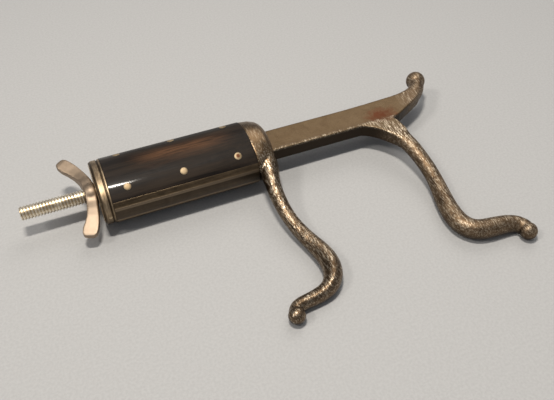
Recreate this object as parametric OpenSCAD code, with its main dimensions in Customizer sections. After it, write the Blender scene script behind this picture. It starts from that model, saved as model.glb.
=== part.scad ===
// Horse mouth gag: two curved jaw arms on a horn handle, spread by a captive wing nut and a screw.
// Millimetres. X runs from the nut to the jaws, Y away from the viewer, Z up.
// The origin is under the middle of the handle, on the surface that the gag lies on.

/* [Handle] */
// Width of the oval handle
handle_width = 46; // [40:0.5:54]
// Height of the oval handle before its underside is flattened
handle_height = 32; // [26:0.5:38]
// Length of the horn scales
horn_length = 88; // [70:1:110]
// How much of the underside is filed flat
rest_flat_depth = 0.2; // [0.1:0.1:1]
// Thickness of each metal liner
liner_thickness = 3.2; // [2.9:0.1:4]
// Shank diameter of the scale rivets
rivet_diameter = 4.4; // [3:0.2:6]
// Distance from the middle line to a row of rivets
rivet_row = 14.3; // [12:0.1:16]
// Distance between rivets along the handle
rivet_spacing = 33.5; // [20:0.5:40]

/* [Sliding bar] */
// Width of the bar
bar_width = 19; // [16:0.2:19]
// Thickness of the bar
bar_thickness = 9.2; // [8.6:0.1:9.2]
// Clearance on each side of the bar in its slot
slide_clearance = 0.15; // [0.1:0.05:0.4]
// Distance from the collar's face to the moving arm's root
jaw_opening = 76; // [66:1:90]

/* [Screw and nut] */
// Outside diameter of the thread
screw_diameter = 8.4; // [7:0.1:9]
// Thread that stands out behind the handle
screw_free_length = 44; // [20:1:60]
// Span from wing tip to wing tip
wing_span = 55; // [40:1:60]
// Thickness of the wings at their tips
wing_tip_thickness = 3.4; // [2.4:0.2:5]
// Thickness of the wings where they leave the hub
wing_root_thickness = 8; // [5:0.5:10]
// How far the near wing is swept back
near_wing_sweep = 6.5; // [0:0.5:16]
// How far the far wing is swept back
far_wing_sweep = 11.5; // [0:0.5:16]
// Angle of the wings as photographed
wing_turn = 15; // [-90:1:90]

/* [Arms] */
// Scale of the arms' thickness
arm_thickness = 1; // [0.85:0.05:1.15]

/* [Hidden] */
$fn = 96;
overlap = 1;
oval_ratio = handle_width / handle_height;
oval_radius = handle_height / 2;
axis_height = oval_radius - rest_flat_depth;
horn_end = horn_length / 2;

// The slot and the metal stack round it
slot_width = bar_width + 2 * slide_clearance;
slot_height = bar_thickness + 2 * slide_clearance;
stack_height = slot_height / 2 + liner_thickness;
rail_inner = slot_width / 2;

// Rear ferrule, end plate and the tongue of the handle inside it
ferrule_length = 6.5;
ferrule_rear = -horn_end - ferrule_length;
tongue_radius = 14.6;
tongue_rear = ferrule_rear + 2.2;
ferrule_pin_radius = 0.9;
ferrule_pin_x = -horn_end - 3.1;
ferrule_pin_depth = 6;
ferrule_band_radius = axis_height - 0.1;

// Nut, ring and washer
screw_radius = screw_diameter / 2;
thread_clearance = 0.05;
neck_radius = 5.8;
neck_clearance = 0.06;
ring_radius = 7.6;
ring_length = 4;
thrust_gap = 0.1;
washer_thickness = 1.2;
washer_bore = 6.1;
nut_face = ferrule_rear - thrust_gap;
ring_rear = tongue_rear + washer_thickness + thrust_gap;
ring_front = ring_rear + ring_length;
chamber_half_width = 8;
chamber_front = ring_front + 1;
ring_pin_radius = 0.8;
hub_radius = 7.4;
hub_length = 6.8;
wing_root_width = 5.9;
wing_tip_width = 7.4;

// Screw and tang
bar_rear = 17.5;
screw_rear = ferrule_rear - screw_free_length;
spigot_radius = 3;
spigot_length = 12;
screw_pin_radius = 1.5;
screw_pin_x = bar_rear + 6;
screw_point = 1;

// Collar
collar_length = 13;
collar_front = horn_end + collar_length;
collar_radius = axis_height - 0.05;
collar_shoulder_radius = 14.1;
collar_nose_radius = 11.2;
tenon_length = 6;
tenon_inner = 12.5;
tenon_outer = 18.5;
tenon_half_height = 3;

// The bar's head, from the middle of the root of the moving arm
jaw_x = collar_front + jaw_opening;

// Limbs: x, y, how far each point has come down to the table, half width, half thickness
fixed_arm_line = [
    [51.6, -17, 0, 6.6, 6],
    [50.6, -22, 0.02, 6.0, 5.6],
    [49.2, -28, 0.07, 4.9, 5],
    [48.3, -38, 0.25, 4.6, 4.6],
    [48.5, -49, 0.48, 4.4, 4.4],
    [49.8, -58, 0.66, 4.4, 4.4],
    [52.3, -67, 0.82, 4.6, 4.6],
    [55.4, -76, 0.94, 5.1, 5],
    [57.8, -84, 0.99, 5.7, 5.5],
    [58.7, -92, 1, 5.9, 5.8],
    [57.0, -101, 1, 5.7, 5.7],
    [51.8, -107, 1, 5, 5],
    [45.6, -109, 1, 4.5, 4.5],
    [39.6, -110, 1, 4.2, 4.3],
    [34.2, -110.4, 1, 4.1, 4.2],
    [30.2, -111.6, 1, 4.1, 4.2],
    [28, -114.3, 1, 4.1, 4.2]
];
fixed_knob = [27.9, -116.9, 4.9];
moving_arm_line = [
    [-14.5, 0.5, 0, 9.3, 4.4],
    [-6, -3.5, 0, 8.7, 4.5],
    [0.6, -9.2, 0, 8.4, 4.5],
    [4.3, -15.6, 0.01, 7.2, 4.6],
    [6.8, -22.5, 0.03, 5.6, 4.9],
    [9.4, -30, 0.1, 5.4, 5.2],
    [11.3, -41, 0.32, 4.9, 4.9],
    [12.2, -52, 0.54, 4.8, 4.8],
    [11.7, -62, 0.73, 4.9, 4.9],
    [10.1, -71, 0.88, 5.4, 5.3],
    [8.4, -80, 0.96, 5.8, 5.7],
    [7.4, -89, 0.99, 6.1, 6],
    [8.6, -97.4, 1, 6.3, 6.1],
    [14, -103.2, 1, 6.3, 6.1],
    [23, -104.1, 1, 6, 5.9],
    [30.5, -104.6, 1, 5.6, 5.6],
    [36.4, -105.5, 1, 5.2, 5.3],
    [40.2, -107.4, 1, 4.9, 5],
    [42.1, -110.8, 1, 4.8, 5]
];
moving_knob = [42.2, -114.2, 5.3];
hook_line = [
    [19, 3.2, 0, 6.9, 4.5],
    [27, 5.8, 0, 6.1, 4.5],
    [33.5, 9.2, 0, 5.5, 4.8],
    [38.6, 13, 0, 5.3, 5.1],
    [42.4, 18, 0, 5.2, 5.3]
];
hook_knob = [44.8, 23.7, 6.6];
limb_steps = 4;
limb_sides = 20;
knob_steps = 6;

// Smooth line through points, each of any length
function between(a, b, c, d, t) =
    0.5 * (2 * b + (c - a) * t + (2 * a - 5 * b + 4 * c - d) * t * t
    + (3 * b - a - 3 * c + d) * t * t * t);
function smooth_line(points) = [
    for (i = [0 : len(points) - 2], k = [0 : limb_steps - 1])
        between(points[max(i - 1, 0)], points[i], points[i + 1],
            points[min(i + 2, len(points) - 1)], k / limb_steps),
    points[len(points) - 1]
];

// A limb's stations as [centre, half width, half thickness], then the ball on its end.
// Where it is wide it is flat like the bar, and where it is narrow it is round.
function unit(v) = v / norm(v);
function squared(value, flatness) = sign(value) * pow(abs(value), 1 - 0.6 * flatness);
function flatness_of(station) = min(1, max(0, 2.5 * (station[1] / station[2] - 1.06)));
function station(row) = [
    [row[0], row[1], axis_height * (1 - row[2]) + arm_thickness * row[4] * row[2]],
    arm_thickness * row[3],
    arm_thickness * row[4]
];
function knob_stations(last, centre, radius) =
    let (
        way = unit(centre - last[0]),
        start = acos(min(last[1], radius * 0.98) / radius)
    )
    [
        for (i = [0 : knob_steps])
            let (turn = -start + (start + 87) * i / knob_steps)
            [centre + way * radius * sin(turn), radius * cos(turn), radius * cos(turn)]
    ];
function limb(rows, knob, offset, knob_height) =
    let (
        body = [for (row = smooth_line(rows)) station(row + [offset, 0, 0, 0, 0])],
        radius = arm_thickness * knob[2],
        centre = [knob[0] + offset, knob[1], max(knob_height, radius)]
    )
    concat(body, knob_stations(body[len(body) - 1], centre, radius));

module swept(stations) {
    count = len(stations);
    sides = limb_sides;
    rings = [
        for (i = [0 : count - 1])
            let (
                way = unit(stations[min(i + 1, count - 1)][0] - stations[max(i - 1, 0)][0]),
                side = unit([way.y, -way.x, 0]),
                rise = cross(side, way),
                flatness = flatness_of(stations[i])
            )
            for (j = [0 : sides - 1])
                let (turn = 360 * j / sides)
                stations[i][0] + side * stations[i][1] * squared(cos(turn), flatness)
                    + rise * stations[i][2] * squared(sin(turn), flatness)
    ];
    walls = [
        for (i = [0 : count - 2], j = [0 : sides - 1])
            let (
                a = i * sides + j,
                b = i * sides + (j + 1) % sides
            )
            each [[a, b, b + sides], [a, b + sides, a + sides]]
    ];
    rear_cap = [for (j = [sides - 1 : -1 : 0]) j];
    front_cap = [for (j = [0 : sides - 1]) (count - 1) * sides + j];
    polyhedron(rings, concat(walls, [rear_cap, front_cap]), convexity = 6);
}

// Round and oval solids along the handle's axis
module along_x(x_from, x_to, radius) {
    translate([x_from, 0, axis_height]) rotate([0, 90, 0])
        cylinder(r = radius, h = x_to - x_from);
}
module oval_along_x(x_from, x_to, radius) {
    translate([x_from, 0, axis_height]) rotate([0, 90, 0]) scale([1, oval_ratio, 1])
        cylinder(r = radius, h = x_to - x_from);
}
module oval_cone(x_from, x_to, radius_from, radius_to) {
    translate([x_from, 0, axis_height]) rotate([0, 90, 0]) scale([1, oval_ratio, 1])
        cylinder(r1 = radius_from, r2 = radius_to, h = x_to - x_from);
}
module oval_stack(rows) {
    for (i = [0 : len(rows) - 2])
        oval_cone(rows[i][0], rows[i + 1][0], rows[i][1], rows[i + 1][1]);
}
module upright(x, y, radius, z_from, z_to) {
    translate([x, y, z_from]) cylinder(r = radius, h = z_to - z_from);
}
module slab(x_from, x_to, y_from, y_to, z_from, z_to) {
    translate([x_from, y_from, z_from]) cube([x_to - x_from, y_to - y_from, z_to - z_from]);
}
module below_rest() {
    slab(-horn_length, horn_length, -handle_width, handle_width, -handle_height, 0);
}
module rivet_places() {
    for (x = [-rivet_spacing, 0, rivet_spacing], y = [-rivet_row, rivet_row])
        translate([x, y, 0]) children();
}
module rivet_holes() {
    rivet_places() cylinder(r = rivet_diameter / 2, h = 2 * handle_height, center = true);
}

// The oval handle with its tongue inside the ferrule, between two heights over the axis
module handle_layer(low, high) {
    intersection() {
        union() {
            oval_along_x(-horn_end, horn_end, oval_radius);
            oval_along_x(tongue_rear, -horn_end + overlap, tongue_radius);
        }
        slab(-horn_length, horn_length, -handle_width, handle_width,
            axis_height + low, axis_height + high);
    }
}
module side_rail(side) {
    difference() {
        union() {
            intersection() {
                handle_layer(-slot_height / 2, slot_height / 2);
                slab(-horn_length, horn_length, min(side * rail_inner, side * handle_width),
                    max(side * rail_inner, side * handle_width), 0, handle_height);
            }
            slab(horn_end - overlap, horn_end + tenon_length,
                min(side * tenon_inner, side * tenon_outer),
                max(side * tenon_inner, side * tenon_outer),
                axis_height - tenon_half_height, axis_height + tenon_half_height);
        }
        rivet_holes();
        ferrule_pin_shape();
    }
}
module near_side_rail() {
    color("#5b5048") side_rail(-1);
}
module far_side_rail() {
    color("#5b5048") side_rail(1);
}

module liner(low, high) {
    difference() {
        handle_layer(low, high);
        slab(tongue_rear - overlap, chamber_front, -chamber_half_width, chamber_half_width,
            -overlap, handle_height + overlap);
        rivet_holes();
    }
}
module top_liner() {
    color("#6a5a45") liner(slot_height / 2, stack_height);
}
module bottom_liner() {
    color("#6a5a45") liner(-stack_height, -slot_height / 2);
}

module top_scale() {
    color("#2a1a14") difference() {
        handle_layer(stack_height, handle_height);
        rivet_holes();
    }
}
module bottom_scale() {
    color("#2a1a14") difference() {
        handle_layer(-handle_height, -stack_height);
        rivet_holes();
        below_rest();
    }
}
module scale_rivets() {
    rivet_proud = 0.25;
    color("#c9a66b") intersection() {
        rivet_holes();
        oval_along_x(-horn_end, horn_end, oval_radius + rivet_proud);
    }
}

// Ferrule: bevel, band, groove and bead, held by a flush pin on each side
module ferrule_pin_shape() {
    for (side = [-1, 1])
        translate([ferrule_pin_x, side * (handle_width / 2 - ferrule_pin_depth), axis_height])
            rotate([-side * 90, 0, 0])
                cylinder(r = ferrule_pin_radius, h = ferrule_pin_depth + overlap);
}
module rear_ferrule() {
    groove_radius = ferrule_band_radius - 0.4;
    bead_radius = axis_height;
    color("#b58b45") difference() {
        oval_stack([
            [ferrule_rear, tongue_radius + 0.3],
            [ferrule_rear + 1.4, ferrule_band_radius],
            [-horn_end - 1.9, ferrule_band_radius],
            [-horn_end - 1.6, groove_radius],
            [-horn_end - 1.2, groove_radius],
            [-horn_end - 0.9, bead_radius],
            [-horn_end - 0.3, bead_radius],
            [-horn_end, bead_radius - 0.2]
        ]);
        oval_along_x(ferrule_rear - overlap, -horn_end + overlap, tongue_radius);
        ferrule_pin_shape();
    }
}
module ferrule_pins() {
    color("#a9813f") intersection() {
        ferrule_pin_shape();
        oval_along_x(ferrule_rear, -horn_end, ferrule_band_radius);
    }
}
module end_plate() {
    color("#8a6a3a") difference() {
        oval_along_x(ferrule_rear, tongue_rear, tongue_radius);
        along_x(ferrule_rear - overlap, tongue_rear + overlap, neck_radius + neck_clearance);
    }
}
module thrust_washer() {
    color("#b9b2a4") difference() {
        along_x(tongue_rear, tongue_rear + washer_thickness, ring_radius);
        along_x(tongue_rear - overlap, tongue_rear + washer_thickness + overlap, washer_bore);
    }
}

// Tapered collar, in two halves about the middle, with the bar's slot and sockets for the rails
module collar_solid() {
    for (side = [-1, 0])
        intersection() {
            slab(0, collar_front, side * handle_width, (side + 1) * handle_width, 0, handle_height);
            oval_stack([
                [horn_end, collar_radius],
                [horn_end + tenon_length, collar_radius - 0.5],
                [collar_front - 3, collar_shoulder_radius],
                [collar_front - 0.9, collar_nose_radius + 1.4],
                [collar_front, collar_nose_radius]
            ]);
        }
}
module front_collar() {
    color("#5f4c3b") difference() {
        collar_solid();
        slab(horn_end - overlap, collar_front + overlap, -slot_width / 2, slot_width / 2,
            axis_height - slot_height / 2, axis_height + slot_height / 2);
        for (side = [-1, 1])
            slab(horn_end - overlap, horn_end + tenon_length,
                min(side * tenon_inner, side * tenon_outer),
                max(side * tenon_inner, side * tenon_outer),
                axis_height - tenon_half_height, axis_height + tenon_half_height);
    }
}
module fixed_arm() {
    color("#4d3d31") difference() {
        swept(limb(fixed_arm_line, fixed_knob, 0, 0));
        collar_solid();
        oval_along_x(-horn_end, horn_end, oval_radius);
    }
}

// Flat bar whose end widens into the roots of the arm and the hook
module bar_outline() {
    half = bar_width / 2;
    notch = [jaw_x + 10.8, -half - 1.2];
    near_edge = [
        [jaw_x - 16, -half],
        [jaw_x - 10, -half - 1],
        [jaw_x - 4.5, -half - 4.5],
        [jaw_x + 1.5, -half - 7.2],
        [jaw_x + 7, -half - 5]
    ];
    hook_near = [[jaw_x + 19, -half + 5.2], [jaw_x + 26, -half + 8.6]];
    far_edge = [
        [jaw_x + 25, half + 1.8],
        [jaw_x + 16.5, half + 1.4],
        [jaw_x + 3, half + 0.6],
        [jaw_x - 16, half + 0.1]
    ];
    polygon(concat([[bar_rear, -half]], near_edge, [notch], hook_near, far_edge,
        [[jaw_x - 30, half], [bar_rear, half]]));
}
module bar_solid() {
    translate([0, 0, axis_height - bar_thickness / 2]) linear_extrude(bar_thickness)
        bar_outline();
}
module slide_bar() {
    color("#6b5f55") difference() {
        bar_solid();
        along_x(bar_rear - overlap, bar_rear + spigot_length, spigot_radius);
        upright(screw_pin_x, 0, screw_pin_radius, 0, handle_height);
    }
}
module moving_arm() {
    color("#4d3d31") difference() {
        swept(limb(moving_arm_line, moving_knob, jaw_x, 0));
        bar_solid();
    }
}
module curl_hook() {
    color("#4d3d31") difference() {
        swept(limb(hook_line, hook_knob, jaw_x, axis_height));
        bar_solid();
    }
}

module draw_screw() {
    color("#9a9086") difference() {
        union() {
            along_x(screw_rear + screw_point, bar_rear, screw_radius);
            translate([screw_rear, 0, axis_height]) rotate([0, 90, 0])
                cylinder(r1 = screw_radius - screw_point, r2 = screw_radius, h = screw_point);
            along_x(bar_rear - overlap, bar_rear + spigot_length, spigot_radius);
        }
        upright(screw_pin_x, 0, screw_pin_radius, 0, handle_height);
    }
}
module screw_pin() {
    color("#8b8378") upright(screw_pin_x, 0, screw_pin_radius,
        axis_height - bar_thickness / 2, axis_height + bar_thickness / 2);
}

// Wing nut: a flat swept-back wing plate on a round hub, with a neck through the end plate
module wing_outline() {
    half_span = wing_span / 2;
    tip_y = half_span - wing_tip_width / 2;
    step = tip_y / 8;
    function front(y) = -(y < 0 ? near_wing_sweep : far_wing_sweep) * pow(abs(y) / tip_y, 2);
    function width(y) = wing_root_width + (wing_tip_width - wing_root_width) * abs(y) / tip_y;
    polygon(concat(
        [for (y = [-tip_y : step : tip_y + step / 2]) [front(y), y]],
        [for (y = [tip_y : -step : -tip_y - step / 2]) [front(y) - width(y), y]]
    ));
    for (y = [-tip_y, tip_y])
        translate([front(y) - wing_tip_width / 2, y]) circle(r = wing_tip_width / 2);
}
module wings() {
    half_span = wing_span / 2;
    intersection() {
        translate([0, 0, -wing_root_thickness / 2]) linear_extrude(wing_root_thickness)
            wing_outline();
        translate([-wing_span, 0, 0]) rotate([90, 0, 90]) linear_extrude(wing_span)
            polygon([
                for (rise = [-1, 1], side = [-rise, 0, rise])
                    [side * half_span,
                        rise * (side == 0 ? wing_root_thickness : wing_tip_thickness) / 2]
            ]);
    }
}
module ring_pin_shape() {
    translate([(ring_rear + ring_front) / 2, 0, axis_height + screw_radius + 0.5])
        cylinder(r = ring_pin_radius, h = ring_radius - screw_radius - 0.5);
}
module wing_nut() {
    color("#d0a98a") difference() {
        union() {
            translate([nut_face - 0.2, 0, axis_height]) rotate([wing_turn, 0, 0]) wings();
            along_x(nut_face - hub_length, nut_face, hub_radius);
            along_x(nut_face - overlap, ring_front, neck_radius);
        }
        along_x(nut_face - 2 * hub_length, ring_front + overlap, screw_radius + thread_clearance);
        ring_pin_shape();
    }
}
module nut_retaining_ring() {
    color("#9c958b") difference() {
        along_x(ring_rear, ring_front, ring_radius);
        along_x(ring_rear - overlap, ring_front + overlap, neck_radius);
        ring_pin_shape();
    }
}
module ring_pin() {
    color("#8b8378") intersection() {
        ring_pin_shape();
        along_x(ring_rear, ring_front, ring_radius);
    }
}

near_side_rail();
far_side_rail();
top_liner();
bottom_liner();
top_scale();
bottom_scale();
scale_rivets();
rear_ferrule();
ferrule_pins();
end_plate();
thrust_washer();
front_collar();
fixed_arm();
slide_bar();
moving_arm();
curl_hook();
draw_screw();
screw_pin();
wing_nut();
nut_retaining_ring();
ring_pin();
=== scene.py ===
import bpy
import bmesh
import math
import random
from mathutils import Matrix, Vector


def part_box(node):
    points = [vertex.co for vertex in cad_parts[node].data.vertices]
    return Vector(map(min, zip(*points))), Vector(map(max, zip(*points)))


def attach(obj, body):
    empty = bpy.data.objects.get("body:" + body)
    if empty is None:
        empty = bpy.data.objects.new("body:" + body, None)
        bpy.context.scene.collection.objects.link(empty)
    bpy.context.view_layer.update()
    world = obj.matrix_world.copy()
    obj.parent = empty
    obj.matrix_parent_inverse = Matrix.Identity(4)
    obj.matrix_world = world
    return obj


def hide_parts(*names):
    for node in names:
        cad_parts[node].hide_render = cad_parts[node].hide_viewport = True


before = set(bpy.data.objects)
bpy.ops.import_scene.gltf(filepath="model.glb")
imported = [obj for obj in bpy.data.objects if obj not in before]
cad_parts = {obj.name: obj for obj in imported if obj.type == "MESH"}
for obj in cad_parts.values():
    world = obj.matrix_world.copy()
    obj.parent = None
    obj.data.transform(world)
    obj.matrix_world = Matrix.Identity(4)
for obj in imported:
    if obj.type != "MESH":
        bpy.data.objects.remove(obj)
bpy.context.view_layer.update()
mm = 0.001
print("frame loaded")

# places that several pieces share, read from the frame
screwLow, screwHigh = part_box("draw_screw")
hornLow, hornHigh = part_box("top_scale")
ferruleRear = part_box("rear_ferrule")[0].x
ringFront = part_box("nut_retaining_ring")[1].x
axisZ = (screwLow.z + screwHigh.z) / 2
axisPoint = (0, 0, axisZ)
hornEnd = hornHigh.x
screwRadius = (screwHigh.z - screwLow.z) / 2
handleShape = {"width": 46, "height": 32, "tongueRadius": 14.6, "nutGap": 0.1}
ovalRatio = handleShape["width"] / handleShape["height"]
handleRadius = handleShape["height"] / 2 * mm
tongueRadius = handleShape["tongueRadius"] * mm
nutFace = ferruleRear - handleShape["nutGap"] * mm


# small helpers for working on one piece at a time
def deselectAll():
    if bpy.context.mode != "OBJECT":
        bpy.ops.object.mode_set(mode="OBJECT")
    bpy.ops.object.select_all(action="DESELECT")


def makeActive(piece):
    deselectAll()
    piece.select_set(True)
    bpy.context.view_layer.objects.active = piece


def startEditing(piece):
    makeActive(piece)
    bpy.ops.object.mode_set(mode="EDIT")
    bpy.ops.mesh.select_all(action="SELECT")


def stopEditing():
    bpy.ops.object.mode_set(mode="OBJECT")


def applyPlace(piece):
    makeActive(piece)
    bpy.ops.object.transform_apply(location=True, rotation=True, scale=True)


def applyModifiers(piece):
    makeActive(piece)
    for modifier in list(piece.modifiers):
        bpy.ops.object.modifier_apply(modifier=modifier.name)


def fixNormals(piece):
    startEditing(piece)
    bpy.ops.mesh.remove_doubles(threshold=0.001 * mm)
    bpy.ops.mesh.normals_make_consistent(inside=False)
    stopEditing()


def joinPieces(pieces):
    deselectAll()
    for piece in pieces:
        piece.select_set(True)
    bpy.context.view_layer.objects.active = pieces[0]
    bpy.ops.object.join()
    return bpy.context.object


def addModifier(piece, kind, **settings):
    modifier = piece.modifiers.new(kind.title(), kind)
    for name, value in settings.items():
        setattr(modifier, name, value)
    return modifier


def cutWith(piece, cutter, operation="DIFFERENCE"):
    addModifier(piece, "BOOLEAN", operation=operation, object=cutter, solver="EXACT")
    applyModifiers(piece)
    bpy.data.objects.remove(cutter)


def softenEdges(piece, width, segments=3, angle=30):
    addModifier(piece, "BEVEL", width=width * mm, segments=segments, limit_method="ANGLE",
                angle_limit=math.radians(angle))
    applyModifiers(piece)


def subdivide(piece, levels):
    addModifier(piece, "SUBSURF", levels=levels, render_levels=levels)
    applyModifiers(piece)


# a creased corner stays square when the piece is subdivided
def creaseCorners(piece, crease):
    startEditing(piece)
    bpy.ops.mesh.select_all(action="DESELECT")
    bpy.ops.mesh.edges_select_sharp(sharpness=math.radians(50))
    bpy.ops.transform.edge_crease(value=crease)
    stopEditing()


def selectWhere(piece, test, kind="VERT"):
    bpy.ops.mesh.select_mode(type=kind)
    bpy.ops.mesh.select_all(action="DESELECT")
    mesh = bmesh.from_edit_mesh(piece.data)
    for part in {"VERT": mesh.verts, "EDGE": mesh.edges, "FACE": mesh.faces}[kind]:
        part.select_set(test(part))
    mesh.select_flush_mode()
    bmesh.update_edit_mesh(piece.data)


def finishPiece(piece, name, body, nodes, material, smoothAngle=35):
    piece.name = name
    piece.data.name = name
    applyPlace(piece)
    bpy.ops.object.shade_smooth_by_angle(angle=math.radians(smoothAngle))
    piece.data.materials.clear()
    piece.data.materials.append(material)
    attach(piece, body)
    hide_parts(*nodes)
    print("made", name, len(piece.data.polygons), "faces")
    return piece


# an oval turning on the long axis, extruded ring by ring from rows of (x, radius) in mm
def ovalTurning(rows, segments=128, closedRing=False, ratio=ovalRatio):
    deselectAll()
    x, radius = rows[0]
    bpy.ops.mesh.primitive_circle_add(
        vertices=segments, radius=radius * mm, fill_type="NOTHING" if closedRing else "NGON",
        location=(x * mm, 0, axisZ), rotation=(0, math.pi / 2, 0))
    piece = bpy.context.object
    applyPlace(piece)
    startEditing(piece)
    for nextX, nextRadius in rows[1:]:
        step = {"value": ((nextX - x) * mm, 0, 0)}
        if closedRing:
            bpy.ops.mesh.extrude_edges_move(TRANSFORM_OT_translate=step)
        else:
            bpy.ops.mesh.extrude_region_move(TRANSFORM_OT_translate=step)
        grow = nextRadius / radius
        bpy.ops.transform.resize(value=(1, grow, grow), center_override=(nextX * mm, 0, axisZ))
        x, radius = nextX, nextRadius
    bpy.ops.mesh.select_all(action="SELECT")
    bpy.ops.transform.resize(value=(1, ratio, 1), center_override=axisPoint)
    stopEditing()
    fixNormals(piece)
    return piece


def cutAway(piece, point, normal):
    startEditing(piece)
    bpy.ops.mesh.bisect(plane_co=point, plane_no=normal, use_fill=True, clear_outer=True)
    stopEditing()


# a bar drawn out from ring to ring: stations are (x, y, z, half width, half height) in metres
def drawOut(stations, sides=16, flat=False):
    deselectAll()
    points = [Vector(s[:3]) for s in stations]

    def heading(i):
        way = points[min(i + 1, len(points) - 1)] - points[max(i - 1, 0)]
        return math.atan2(way.y, way.x)

    if flat:
        bpy.ops.mesh.primitive_plane_add(size=2, location=points[0], rotation=(0, math.pi / 2, 0))
    else:
        bpy.ops.mesh.primitive_circle_add(vertices=sides, radius=1, fill_type="NGON",
                                          location=points[0], rotation=(0, math.pi / 2, 0))
    piece = bpy.context.object
    applyPlace(piece)
    startEditing(piece)
    bpy.ops.transform.resize(value=(1, stations[0][3], stations[0][4]), center_override=points[0])
    # in the background transform.rotate turns the other way, so its angle is negated
    bpy.ops.transform.rotate(value=-heading(0), orient_axis="Z", center_override=points[0])
    for i in range(1, len(stations)):
        step = {"value": points[i] - points[i - 1]}
        bpy.ops.mesh.extrude_region_move(TRANSFORM_OT_translate=step)
        bpy.ops.transform.rotate(value=heading(i - 1) - heading(i), orient_axis="Z",
                                 center_override=points[i])
        wider = stations[i][3] / stations[i - 1][3]
        taller = stations[i][4] / stations[i - 1][4]
        bpy.ops.transform.resize(value=(wider, wider, taller), center_override=points[i])
    stopEditing()
    fixNormals(piece)
    return piece


# limbs: rows are (x, y, how far down to the table, half width, half thickness) in mm
def limbStations(rows, fuller=1.0):
    return [(x * mm, y * mm, axisZ * (1 - drop) + thick * mm * drop,
             wide * fuller * mm, thick * fuller * mm) for x, y, drop, wide, thick in rows]


# a round limb: subdividing its 16 sides draws them in a little, so it starts a little fuller
def roundLimb(rows):
    limb = drawOut(limbStations(rows, fuller=1.025))
    subdivide(limb, 2)
    return limb


# a flat limb: its corners are creased, so it stays square while its path turns smooth
def flatLimb(rows, edge=0.7):
    limb = drawOut(limbStations(rows), flat=True)
    creaseCorners(limb, 1)
    subdivide(limb, 3)
    softenEdges(limb, edge, 3, 45)
    return limb


# a knob lies on the table, unless its height is given
def addKnob(knob, height=None):
    x, y, radius = knob
    deselectAll()
    bpy.ops.mesh.primitive_uv_sphere_add(
        segments=32, ring_count=20, radius=radius * mm,
        location=(x * mm, y * mm, radius * mm if height is None else height))
    ball = bpy.context.object
    applyPlace(ball)
    return ball


def weldTogether(pieces, voxel):
    piece = joinPieces(pieces)
    addModifier(piece, "REMESH", mode="VOXEL", voxel_size=voxel * mm)
    applyModifiers(piece)
    return piece


def keepGroup(piece, name, test):
    group = piece.vertex_groups.new(name=name)
    for vertex in piece.data.vertices:
        share = test(vertex.co)
        if share > 0:
            group.add([vertex.index], share, "REPLACE")
    return name


def smoothPart(piece, group, repeats, factor=0.5):
    addModifier(piece, "SMOOTH", factor=factor, iterations=repeats, vertex_group=group)
    applyModifiers(piece)


# press the skin in, never out, by as much as a texture says
def dentSkin(piece, group, kind, size, depth):
    texture = bpy.data.textures.new("dents", kind)
    texture.noise_scale = size * mm
    addModifier(piece, "DISPLACE", texture=texture, texture_coords="LOCAL", strength=depth * mm,
                mid_level=1.0, vertex_group=group)
    applyModifiers(piece)
    bpy.data.textures.remove(texture)


# 0 at the span's first value and 1 at its second, both in mm
def fade(span, value):
    low, high = span[0] * mm, span[1] * mm
    return min(1, max(0, (value - low) / (high - low)))


# the last light smoothing of a forged piece, which leaves what lies on the table
def smoothOffTable(piece):
    every = keepGroup(piece, "every", lambda co: fade((0, 0.3), co.z))
    smoothPart(piece, every, 3)


# shader helpers
def startMaterial(name, **sockets):
    material = bpy.data.materials.new(name)
    material.use_nodes = True
    tree = material.node_tree
    shader = tree.nodes["Principled BSDF"]
    for socket, value in sockets.items():
        shader.inputs[socket.replace("_", " ")].default_value = value
    return material, tree, shader


def addNode(tree, kind, **settings):
    made = tree.nodes.new("ShaderNode" + kind)
    for name, value in settings.items():
        setattr(made, name, value)
    return made


def wire(tree, source, target):
    if isinstance(source, (int, float, tuple)):
        target.default_value = source
    else:
        tree.links.new(source, target)


def objectCoords(tree, scale=(1, 1, 1), turn=(0, 0, 0), shift=(0, 0, 0)):
    coords = addNode(tree, "TexCoord")
    mapping = addNode(tree, "Mapping")
    mapping.inputs["Scale"].default_value = scale
    mapping.inputs["Rotation"].default_value = turn
    mapping.inputs["Location"].default_value = shift
    tree.links.new(coords.outputs["Object"], mapping.inputs["Vector"])
    return mapping.outputs["Vector"]


def noiseOf(tree, vector, scale, detail=4.0, rough=0.55, twist=0.0):
    made = addNode(tree, "TexNoise")
    tree.links.new(vector, made.inputs["Vector"])
    made.inputs["Scale"].default_value = scale
    made.inputs["Detail"].default_value = detail
    made.inputs["Roughness"].default_value = rough
    made.inputs["Distortion"].default_value = twist
    return made.outputs["Fac"]


def rampOf(tree, value, stops):
    made = addNode(tree, "ValToRGB")
    ramp = made.color_ramp
    while len(ramp.elements) < len(stops):
        ramp.elements.new(0.5)
    for element, (place, grey) in zip(ramp.elements, stops):
        element.position = place
        element.color = (grey, grey, grey, 1)
    tree.links.new(value, made.inputs["Fac"])
    return made.outputs["Color"]


def mixOf(tree, share, first, second, blend="MIX"):
    made = addNode(tree, "MixRGB", blend_type=blend)
    wire(tree, share, made.inputs["Fac"])
    for value, socket in ((first, "Color1"), (second, "Color2")):
        wire(tree, (*value, 1) if isinstance(value, tuple) else value, made.inputs[socket])
    return made.outputs["Color"]


def sumOf(tree, operation, first, second=0.0, third=None, clamp=False):
    made = addNode(tree, "Math", operation=operation, use_clamp=clamp)
    wire(tree, first, made.inputs[0])
    wire(tree, second, made.inputs[1])
    if third is not None:
        wire(tree, third, made.inputs[2])
    return made.outputs["Value"]


def productOf(tree, first, *others):
    for other in others:
        first = sumOf(tree, "MULTIPLY", first, other)
    return first


def lengthOf(tree, first, second):
    square = sumOf(tree, "MULTIPLY", second, second)
    return sumOf(tree, "SQRT", sumOf(tree, "MULTIPLY_ADD", first, first, square))


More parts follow.
